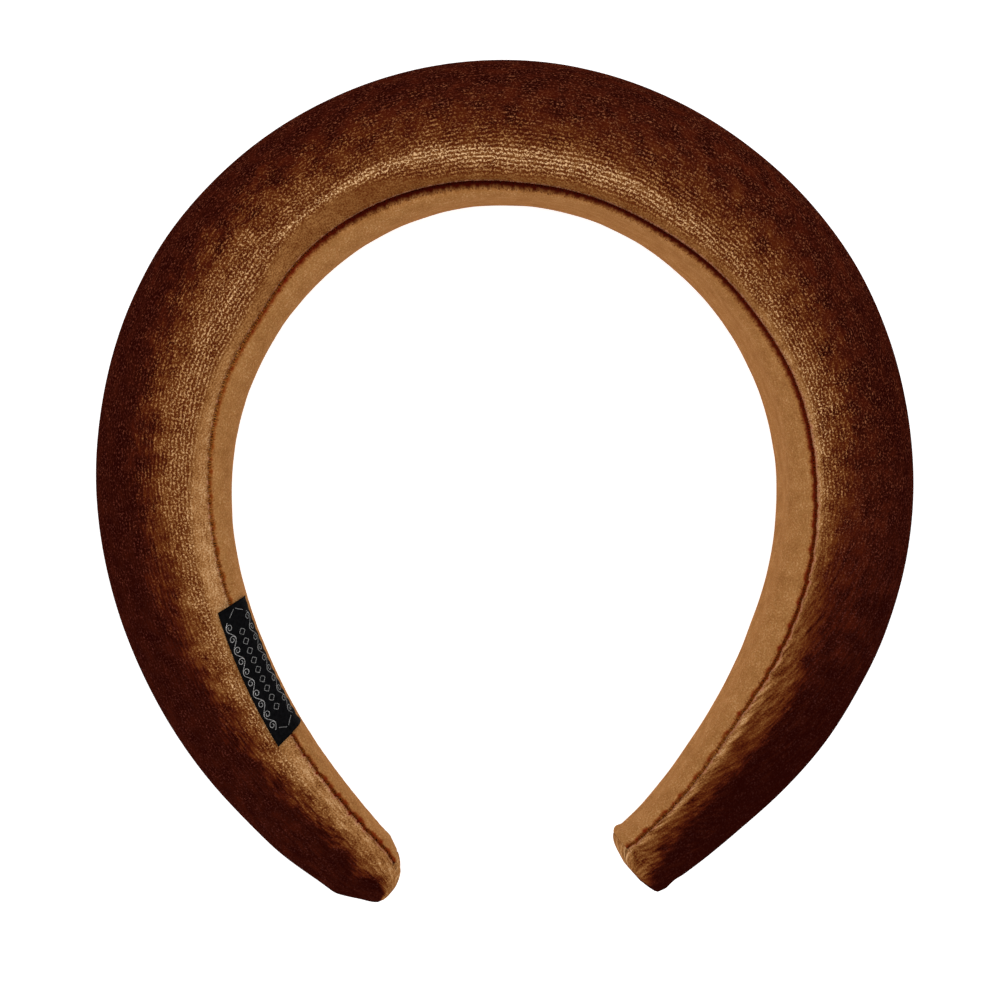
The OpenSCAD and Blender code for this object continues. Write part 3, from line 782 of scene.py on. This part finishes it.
def lining_section(s):
    """Half outlines of the lining's face, from its middle to the bottom of the groove, and of its back
    beside it, then how far each point of the face lies from the rolled lip's top, below zero in the groove,
    and how far the lip's top lies from the middle"""
    s = s[:, None]
    seam_z, edge = half_wide(s) - seam_drop, seam_r(s) - gap / 2
    lip = edge - groove / 2
    flat = np.linspace(0, 1, flat_columns + 1)[None, :-1]
    turn = np.radians(np.linspace(90, 0, corner_columns + 1))[None]
    roll = np.radians(np.linspace(90, 0, lip_columns + 1))[None, 1:]
    middle_z = seam_z - corner
    face_r = np.concatenate([0 * flat * s, lip - lip * np.sin(turn), lip + (edge - lip) * np.cos(roll)], 1)
    face_z = np.concatenate([flat * middle_z, middle_z + corner * np.cos(turn),
                             seam_z - groove + groove * np.sin(roll)], 1)
    back_r = np.concatenate([lining_wall + 0 * flat * s, edge - (edge - lining_wall) * np.sin(turn),
                             edge + 0 * roll * s], 1)
    back_z = np.concatenate([flat * middle_z, middle_z + (corner - lining_wall) * np.cos(turn),
                             seam_z - lining_wall + (lining_wall - groove) * np.cos(roll)], 1)
    run = np.cumsum(np.hypot(np.diff(face_r, axis=1), np.diff(face_z, axis=1)), 1)
    run = np.concatenate([0 * s, run], 1)
    top = run[:, flat_columns + corner_columns][:, None]
    return face_r, face_z, back_r, back_z, top - run, top


lining_s = arms(left_long - left_tuck + lining_reach, right_long - right_tuck + lining_reach, ring_step)
face_r, face_z, back_r, back_z, lip_far, lip_top = lining_section(lining_s)
ends = lined_long(lining_s) + lining_reach
full = np.sqrt(1 - risen(abs(lining_s) - ends, -lining_end, lining_end) ** 2)[:, None]
lining_near = np.exp(-np.maximum(lip_far, 0) / pucker_reach)


def lining_ring(face, back, odd=False):
    """Columns round the lining: the face from its middle to the edge, its back, and the other half"""
    half = np.concatenate([face, back[:, ::-1]], 1)
    return around(half, odd)


r = lining_ring(face_r, face_r + (back_r - face_r) * full)
z = lining_ring(face_z, face_z + (back_z - face_z) * full, odd=True)
columns = r.shape[1]
upper = (np.arange(columns) <= columns // 2)[None] * np.ones_like(r)
along = np.repeat(lining_s[:, None], columns, 1)
on_face = lining_ring(np.ones_like(face_r), np.zeros_like(face_r))
near = lining_ring(lining_near, 0 * lining_near)
pull = pulled(lining_s, upper)
rough_up = ruffled * blurred(rng.normal(0, 1, r.shape), ruffle_reach, 0)
look = way(along)
relief = on_face * (rough_up * (1 - near) - lining_pucker * pull * read(SEAM_LOOK, PUCKER, look) * near)
relief = relief * (full > 0)
lining_points = shaped(along, r, z)
lining_points = lining_points + relief[..., None] * outwards(lining_points)
over = lining_ring(lip_top - lip_far, lip_top - lip_far, odd=True)
# Where the lining's dark line of painted shade beside the seam begins
dark_from = read(SEAM_LOOK, DARK, look) - wavering(along)
lining = tube("velvet_lining", laid(lining_points), {
    "cloth": np.stack([along, over, 0 * over], -1),
    "flank": np.stack([pull, (lining_ring(lip_far, lip_far) - dark_from) / read(SEAM_LOOK, SOFT, look),
                       read(SEAM_LOOK, ROOT, look)], -1)})

# Its pile is plain and even: its rows and tufts in mm, its level of the tones, and how far tufts, grain,
# clouds and a slow drift along the band swing it, the tufts as small painted glints. Beside the seam single
# hairs reach over the dark line of painted shade.
lining_row, lining_loop, lining_level, lining_rows, lining_sparkle = 0.8, 0.5, 0.60, 0.1, 0.33
tufts_swing, grain_swing, clouds_swing, drift_swing, drift_size = 0.15, 0.5, 0.32, 0.12, 0.012
hair_wide, hair_long, hair_reach, stitch_push, shade_soft = 0.45, 1.1, 1.1, 0.5, 1.0
tree, shader = material("lining_velvet", lining, 0.8, sheen=0.02, gloss=0)
shader.inputs["Sheen Tint"].default_value = (1.0, 0.8, 0.6, 1)
cloth = fact(tree, "cloth")
over_lining = parts(tree, cloth)[1]
stitched, distance, dark_tone = parts(tree, fact(tree, "flank"))
pile = fill(tree, knit, {"Cloth": cloth, "Row": sums(tree, "DIVIDE", over_lining, lining_row),
                         "Loop": lining_loop, "Rows": lining_rows})
swing = plus(tree, swung(tree, pile["Sparkle"], lining_sparkle, tufts_swing),
             swung(tree, pile["Grain"], 0.5, grain_swing))
swing = plus(tree, swing, swung(tree, pile["Patch"], 0.5, clouds_swing))
swing = plus(tree, swing, times(tree, speckle(tree, cloth, drift_size), drift_swing))
level = times(tree, lining_level, plus(tree, 1.0, swing))
hairs = drawn_out(tree, cloth, hair_wide, hair_long)
root = plus(tree, times(tree, stitched, stitch_push),
            times(tree, speckle(tree, hairs, 1.0, 2.0), hair_reach))
past_root = less(tree, distance, root)
shade = eased(tree, past_root, -shade_soft, shade_soft)
dye_with_painted_light = fill(tree, tones, {"Level": level})["Color"]
# Greenish gold specks in the pile, and a painted redder tinge of shade beside the seam
speck_size, speck_strength = 0.9, 0.18
tint = times(tree, eased(tree, speckle(tree, cloth, speck_size, 2.0), -0.2, 0.2), shade)
dye_with_painted_light = dyed_over(tree, times(tree, tint, speck_strength), dye_with_painted_light, (0.30, 0.15, 0.04, 1))
reddened_shade = eased(tree, past_root, -0.5, 2.0, 1.0, 0.0)
dye_with_painted_light = dyed_over(tree, reddened_shade, dye_with_painted_light, (1.0, 0.90, 0.75, 1), "MULTIPLY")
# The seam's dark line, painted shade in the seam's tones
seam_shade = fill(tree, seam_shade_tones, {"Level": caught_down(tree, dark_tone, stitched)})["Color"]
dye_with_painted_light = dyed_over(tree, shade, seam_shade, dye_with_painted_light)
tree.links.new(dye_with_painted_light, shader.inputs["Base Color"])
raised(tree, shader, pile["Height"], 0.2, 0.5)
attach(lining, "root")
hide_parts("lining")

# The seam's fringe: tufts of pile that stick out of both cut edges, where the stitches catch them, and lie
# over the groove between the pad and the lining. Their roots are sunk a little.
tuft_wide, tuft_thick, tuft_shortest, tuft_longest, tuft_sunk = 0.15, 0.07, 0.55, 1.25, 0.03
# Where tufts stand on the groove's walls, in degrees round them: the pad's own, and those from the lining's
# wall to the pad's, which stand higher where the groove is filled with pale pile
pad_turns, lining_turns, far_turns, filled_rise, filled_lift = (58, 74), (20, 55), (73, 82), 30, 6
# Where a strand is widest and thickest: two places along it, each with its share of the full size
TAPER = [(0.15, 1.0), (0.65, 0.7)]
THREAD = [(0.12, 1.0), (0.88, 1.0)]


def strands(name, starts, ends, up, wide, thick, profile, tone):
    """One mesh of short strands, each a closed spindle of twelve faces, with a tone of three values each"""
    run = ends - starts
    side = np.cross(run, up)
    side /= np.maximum(np.linalg.norm(side, axis=1, keepdims=True), 1e-12)
    lift = np.cross(side, run)
    lift /= np.maximum(np.linalg.norm(lift, axis=1, keepdims=True), 1e-12)
    wide, thick = np.broadcast_to(wide, len(starts))[:, None], np.broadcast_to(thick, len(starts))[:, None]
    points = [starts]
    for spot, share in profile:
        middle = starts + run * spot
        points += [middle + side * wide * share / 2, middle + lift * thick * share / 2,
                   middle - side * wide * share / 2, middle - lift * thick * share / 2]
    points = np.stack(points + [ends], 1)
    corners = points.shape[1]
    faces = []
    for k in range(4):
        n = (k + 1) % 4
        faces += [(0, 1 + n, 1 + k), (1 + k, 1 + n, 5 + n, 5 + k), (5 + k, 5 + n, 9)]
    mesh = bpy.data.meshes.new(name)
    mesh.from_pydata(points.reshape(-1, 3).tolist(), [],
                     [[corners * i + v for v in face] for i in range(len(starts)) for face in faces])
    kept = mesh.attributes.new("tone", "FLOAT_VECTOR", "POINT")
    kept.data.foreach_set("vector", np.repeat(tone, corners, axis=0).reshape(-1).astype(np.float32))
    made = bpy.data.objects.new(name, mesh)
    bpy.context.collection.objects.link(made)
    bpy.ops.object.select_all(action="DESELECT")
    made.select_set(True)
    bpy.context.view_layer.objects.active = made
    turn_outwards()
    bpy.ops.object.shade_smooth()
    return made


def on_wall(spots, turn):
    """Points on the pad's wall in the groove, from its bottom at a turn of 90 degrees up to its top"""
    ridge, drop = ridge_share * thick(spots), seam_drop + groove
    edge = seam_r(spots) + gap / 2
    return ridge - (ridge - edge) * np.sin(turn), half_wide(spots) - drop * (1 - np.cos(turn))


def tufts(side, kind, spots):
    """Starts and ends of tufts at spots along one side's seam: out of the pad's edge, out of the lining's,
    or low in the groove from one to the other"""
    count = len(spots)
    look = way(spots)
    long = read(SEAM_LOOK, FRINGE, look) * rng.uniform(tuft_shortest, tuft_longest, count)
    top, edge = half_wide(spots) - seam_drop, seam_r(spots)
    lip = edge - gap / 2 - groove / 2
    if kind == "pad":
        start_r, start_z = on_wall(spots, np.radians(rng.uniform(*pad_turns, count)))
        start_z -= 0.02
        end_r, end_z = start_r - long * 0.7, start_z - 0.05 - 0.2 * long + rng.uniform(0, 0.15, count)
    elif kind == "lining":
        pull_back = np.maximum(read(SEAM_LOOK, DARK, look), 0) + rng.uniform(0.0, 0.6, count)
        start_r = lip - pull_back
        start_z = top - corner + corner * np.sqrt(np.clip(1 - (pull_back / lip) ** 2, 0, 1)) - tuft_sunk
        end_r, end_z = np.minimum(start_r + long, edge + 0.35), top + rng.uniform(0.02, 0.2, count)
    else:
        filled = risen(read(SEAM_LOOK, ROOT, look), 0.2, 0.25)
        bend = np.radians(rng.uniform(*lining_turns, count) + filled_rise * filled)
        start_r = lip + groove / 2 * np.cos(bend) - tuft_sunk
        start_z = top - groove + groove * np.sin(bend)
        end_r, end_z = on_wall(spots, np.radians(rng.uniform(*far_turns, count) - filled_lift * filled))
        end_r += tuft_sunk
    slip = long * rng.normal(0, 0.3, count)
    return laid(shaped(spots, start_r, side * start_z)), laid(shaped(spots + slip, end_r, side * end_z))


# Each kind of tuft: its pitch, how far before the lining's ends it stops, its tone's column in SEAM_LOOK,
# and how much it takes the seam's painted shade tones. The label covers the upper seam from label_from to
# label_to, so only the groove's tufts stay there.
KINDS = [("lining", 0.30, 0.2, UNDER, 0.5), ("pad", 0.30, 1.2, OVER, 1.0),
         ("groove", 0.16, 0.6, DEEP, 1.0)]
label_from, label_to, stitched_flat, tuft_stray = -155, -120, 0.75, 0.4
starts, ends, shades = [], [], []
for side in (1, -1):
    for kind, pitch, last, column, seam_shaded in KINDS:
        spots = arms(left_long - left_tuck - last, right_long - right_tuck - last, pitch)
        spots = spots + rng.normal(0, tuft_stray * pitch, len(spots))
        caught = pulled(spots, np.array([[side]]))[:, 0]
        keep = rng.random(len(spots)) > stitched_flat * np.clip(caught, 0, 1)
        if kind == "groove":
            keep[:] = True
        elif side > 0:
            keep &= (spots < label_from) | (spots > label_to)
        spots = spots[keep]
        start, end = tufts(side, kind, spots)
        starts.append(start)
        ends.append(end)
        tone = read(SEAM_LOOK, column, way(spots)) * rng.uniform(0.65, 1.15, len(spots))
        shades.append(np.stack([tone, tone, np.full(len(spots), seam_shaded)], -1))
starts, ends, shades = (np.concatenate(v) for v in (starts, ends, shades))
fringe = strands("seam_fringe", starts, ends, np.array([0, 0, 1.0]), tuft_wide * MM, tuft_thick * MM,
                 TAPER, shades)


def mottled(tree, tone, speckles, least, spread):
    """A strand's tone, uneven along it, with so many speckles to the metre"""
    spots = add(tree, "TexCoord").outputs["Object"]
    mottle = add(tree, "TexNoise", {"Vector": spots, "Scale": speckles, "Detail": 1.0}).outputs["Fac"]
    return times(tree, tone, plus(tree, least, times(tree, mottle, spread)))


tree, shader = material("fringe_pile", fringe, 0.85, gloss=0)
tone, _, in_seam_shade = parts(tree, fact(tree, "tone"))
level = mottled(tree, tone, 1500.0, 0.8, 0.4)
# The groove's and the pad's tufts take the seam's painted shade tones, the lining's half of them
dye_with_painted_light = dyed_over(tree, in_seam_shade, fill(tree, tones, {"Level": level})["Color"],
                 fill(tree, seam_shade_tones, {"Level": level})["Color"])
tree.links.new(dye_with_painted_light, shader.inputs["Base Color"])
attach(fringe, "root")

# The label is a short strip of black woven ribbon, laid over the seam near the left arm's tip and caught
# down with it. Pale threads are woven into it: a running scroll along each edge, and lozenges between.
label_long, label_wide, label_along, label_out, label_lean = 31, 8.5, 138, 6.7, 2
bridge_out, bridge_turn = 1.5, 20
label_low, label_wall, fold_long, label_short, label_narrow = 0.18, 0.36, 1.0, 0.6, 0.09
label_rings, label_columns, label_end = 84, 34, 0.5
bridge_steps, slope_reach, slack_high, slack_reach, fold_high = 16, 0.6, 0.10, 1.2, 0.12


def label_spot(x, y, height):
    """Points x along the label from its end at the tip's side, y across it from its edge on the pad, and so
    high above the velvet, in metres"""
    s = (-label_along - label_long / 2 + x + label_lean * y / label_wide).reshape(-1, 1)
    edge, ridge, full = seam_r(s), ridge_share * thick(s), thick(s)
    out = label_out + (edge + bridge_out - label_out) * np.linspace(0, 1, bridge_steps)[None]
    over = half_wide(s) * np.sqrt(np.clip(1 - ((out - ridge) / (full - ridge)) ** 2, 0, 1))
    under = np.arcsin(np.clip((ridge - out) / (ridge - edge), -1, 1))
    pad_z = np.where(out > ridge, over, half_wide(s) - seam_drop * (1 - np.cos(under)))
    turn = np.radians(np.linspace(bridge_turn, 90, bridge_steps))[None]
    lip = edge - gap / 2 - groove / 2
    r = np.concatenate([out, lip - lip * np.sin(turn), 0 * s], 1)
    z = np.concatenate([pad_z, half_wide(s) - seam_drop - corner + corner * np.cos(turn), 0 * s], 1)
    run = np.concatenate([0 * s, np.cumsum(np.hypot(np.diff(r, axis=1), np.diff(z, axis=1)), 1)], 1)
    spots = y.reshape(-1)
    placed_r, placed_z = np.empty((3, len(spots))), np.empty((3, len(spots)))
    for i in range(len(spots)):
        near = spots[i] + np.array([-slope_reach, 0, slope_reach])
        placed_r[:, i] = np.interp(near, run[i], r[i])
        placed_z[:, i] = np.interp(near, run[i], z[i])
    dr, dz = placed_r[2] - placed_r[0], placed_z[2] - placed_z[0]
    span = np.hypot(dr, dz)
    lift = height.reshape(-1)
    spot_r = placed_r.mean(0) + lift * dz / span
    spot_z = placed_z.mean(0) - lift * dr / span
    return laid(shaped(s[:, 0], spot_r, spot_z)).reshape(*x.shape, 3)


label_x = np.linspace(0, label_long - label_short, label_rings)[:, None] * np.ones((1, label_columns))
label_y = np.linspace(0, label_wide, label_columns)[None] * (1 - label_narrow * label_x / label_long)
from_end = np.minimum(label_x, label_long - label_short - label_x)
from_edge = np.minimum(label_y, label_wide - label_y)
slack = slack_high * np.sin(label_x * 2.7) * np.exp(-from_edge / slack_reach)
crown_up = slack + fold_high * (1 - risen(from_end, 0, fold_long)) ** 0.5
label_top = label_spot(label_x, label_y, label_low + label_wall + crown_up)
flat_end = np.sqrt(1 - (1 - risen(from_end, 0, label_end)) ** 2)
label_under = label_spot(label_x, label_y, label_low + slack * 0.5)
label_under = label_top + (label_under - label_top) * flat_end[..., None]
label = tube("woven_label", np.concatenate([label_top, label_under[:, ::-1]], 1), {
    "weave": np.concatenate([np.stack([label_x, label_y, 0 * label_x], -1)] * 2, 1)})
rib_pitch, pick_pitch = 0.32, 0.26
tree, shader = material("label_weave", label, 0.7, gloss=0.02)
weave_x, weave_y = parts(tree, fact(tree, "weave"))[:2]
ribs = sums(tree, "SINE", times(tree, weave_x, 2 * math.pi / rib_pitch))
picks = sums(tree, "SINE", times(tree, weave_y, 2 * math.pi / pick_pitch))
crossing = times(tree, ribs, picks)
uneven_dye = speckle(tree, fact(tree, "weave"), 1.5, 2.0)
black = plus(tree, 0.5, plus(tree, times(tree, crossing, 0.3), uneven_dye))
inked = dyed_over(tree, black, (0.0005, 0.0005, 0.0007, 1), (0.0065, 0.0063, 0.0072, 1))
tree.links.new(inked, shader.inputs["Base Color"])
raised(tree, shader, crossing, 0.03)
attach(label, "root")
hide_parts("label")

# The label's pattern is pale thread, woven through its black ground in short raised stitches: a scroll that
# runs along each edge and curls at every crest, and a row of lozenges between. Beside it stands a slanting
# stroke in each corner. Sizes: the scroll's wave and curls, the stitches, and the lozenges.
scroll_from, scroll_repeat, scroll_turns, scroll_rise, scroll_in = 3.0, 4.9, 5, 0.72, 1.55
curl_wide, curl_in, curl_turn = 0.80, 0.55, 2.4
stitch_step, stitch_long, thread_wide, thread_thick, thread_high = 0.36, 0.33, 0.15, 0.10, 0.03
lozenge_from, lozenge_step, lozenge_long, lozenge_high, lozenge_count = 6.6, 2.2, 0.75, 0.85, 9


def stitches_along(x, y, shade):
    """Stitches at even steps along a drawn line on the label"""
    run = np.concatenate([[0], np.cumsum(np.hypot(np.diff(x), np.diff(y)))])
    spots = np.arange(0, run[-1], stitch_step)
    ends_at = np.minimum(spots + stitch_long, run[-1])
    return [(np.interp(a, run, x), np.interp(a, run, y), np.interp(b, run, x), np.interp(b, run, y), shade)
            for a, b in zip(spots, ends_at)]


woven = []
for centre, turned, shade in ((scroll_in, 1, 0.42), (label_wide - scroll_in, -1, 0.26)):
    x = np.linspace(scroll_from, scroll_from + scroll_repeat * scroll_turns, 300)
    wave = np.sin((x - scroll_from) * 2 * math.pi / scroll_repeat)
    woven += stitches_along(x, centre + turned * scroll_rise * wave, shade)
    for half in range(2 * scroll_turns):
        rise = turned * (1 if half % 2 == 0 else -1)
        spin = np.linspace(0, 1, 40)
        radius = curl_wide - curl_in * spin
        angle = math.pi / 2 - spin * curl_turn * math.pi
        curl_x = scroll_from + (half + 0.5) * scroll_repeat / 2 + radius * np.cos(angle)
        curl_y = centre + rise * (scroll_rise - curl_wide + radius * np.sin(angle))
        woven += stitches_along(curl_x, curl_y, shade)
for i in range(lozenge_count):
    middle = lozenge_from + i * lozenge_step
    corners_x = middle + lozenge_long * np.array([-1, 0, 1, 0, -1])
    corners_y = label_wide / 2 + lozenge_high * np.array([0, 1, 0, -1, 0])
    woven += stitches_along(corners_x, corners_y, 0.24)
for end, inward in ((0, 1), (label_long, -1)):
    for side in (1, -1):
        x = end + inward * np.array([2.9, 1.7])
        woven += stitches_along(x, label_wide / 2 + side * np.array([1.9, 0.25]), 0.28)
woven = np.array(woven)
woven[:, [1, 3]] *= 1 - label_narrow * woven[:, [0, 2]] / label_long
over_label = np.full(len(woven), label_low + label_wall + thread_high)
thread_starts = label_spot(woven[:, 0], woven[:, 1], over_label)
thread_ends = label_spot(woven[:, 2], woven[:, 3], over_label)
thread_up = label_spot(woven[:, 0], woven[:, 1], over_label + 1) - thread_starts
thread_tones = np.repeat((woven[:, 4] * rng.uniform(0.6, 1.2, len(woven)))[:, None], 3, 1)
threads = strands("label_threads", thread_starts, thread_ends, thread_up, thread_wide * MM,
                  thread_thick * MM, THREAD, thread_tones)
tree, shader = material("label_thread", threads, 0.65, sheen=0.1, gloss=0.3)
grey = mottled(tree, parts(tree, fact(tree, "tone"))[0], 2500.0, 0.6, 0.8)
tree.links.new(dyed_over(tree, grey, (0, 0, 0, 1), (1, 0.98, 0.96, 1)), shader.inputs["Base Color"])
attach(threads, "root")

# The studio: a pale table under a wide soft light, seen from straight above with a long lens. The table
# glows, so that it stays white and the band's shadow faint.
table_size, table_glow, sky_strength = 6, 0.65, 0.75
lamp_power, lamp_size, lamp_at = 3, 0.9, (-0.15, 0.1, 1.0)
bpy.ops.mesh.primitive_plane_add(size=table_size)
table = bpy.context.object
table.name = "studio_table"
tree, shader = material("pale_table", table, 0.8)
shader.inputs["Base Color"].default_value = (0.92, 0.92, 0.92, 1)
shader.inputs["Emission Color"].default_value = (1, 1, 1, 1)
shader.inputs["Emission Strength"].default_value = table_glow

scene = bpy.context.scene
scene.view_settings.view_transform = "Standard"
world = bpy.data.worlds.new("studio")
world.use_nodes = True
world.node_tree.nodes["Background"].inputs["Color"].default_value = (1, 1, 1, 1)
world.node_tree.nodes["Background"].inputs["Strength"].default_value = sky_strength
scene.world = world
bpy.ops.object.light_add(type="AREA", location=lamp_at)
lamp = bpy.context.object
lamp.data.size = lamp_size
lamp.data.energy = lamp_power

# The camera's place, the point it looks at and the way up, with the lens in mm and the picture's shift
eye = Vector((-46.75, -24.16, 663.19)) * MM
aim = Vector((0.21, -7.74, 15.10)) * MM
image_up = Vector((-0.01671, 0.99957, 0.02411))
camera_data = bpy.data.cameras.new("camera")
camera_data.lens = 106.03
camera_data.sensor_width = 36
camera_data.shift_x = -0.0086
camera_data.shift_y = 0.0192
camera = bpy.data.objects.new("camera", camera_data)
scene.collection.objects.link(camera)
back = (eye - aim).normalized()
across = image_up.cross(back).normalized()
camera.matrix_world = Matrix((across, back.cross(across), back)).transposed().to_4x4()
camera.matrix_world.translation = eye
scene.camera = camera
